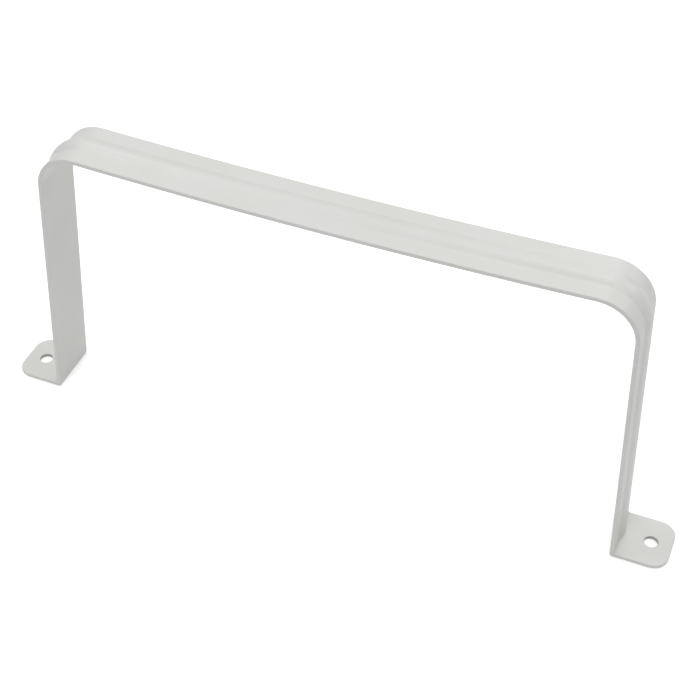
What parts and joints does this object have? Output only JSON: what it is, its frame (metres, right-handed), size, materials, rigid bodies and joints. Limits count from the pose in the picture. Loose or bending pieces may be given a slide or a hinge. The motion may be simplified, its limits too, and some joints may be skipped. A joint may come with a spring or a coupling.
{
  "type": "rectangular pipe clamp",
  "caption": "Moulded plastic strap clamp for a rectangular pipe or duct: a bowed bar with a raised rib, rounded corners, splayed legs and turned-out feet with screw holes.",
  "frame": {"origin": "on the wall plane under the feet, in the middle of the clamp", "axes": "+X along the bar, +Y across the strap and along the duct, +Z away from the wall"},
  "size_m": [0.1536, 0.0126, 0.0675],
  "materials": {
    "white_plastic": "satin moulded plastic, off-white"
  },
  "bodies": {
    "root": {"duct_clamp": "white_plastic"}
  },
  "joints": []
}
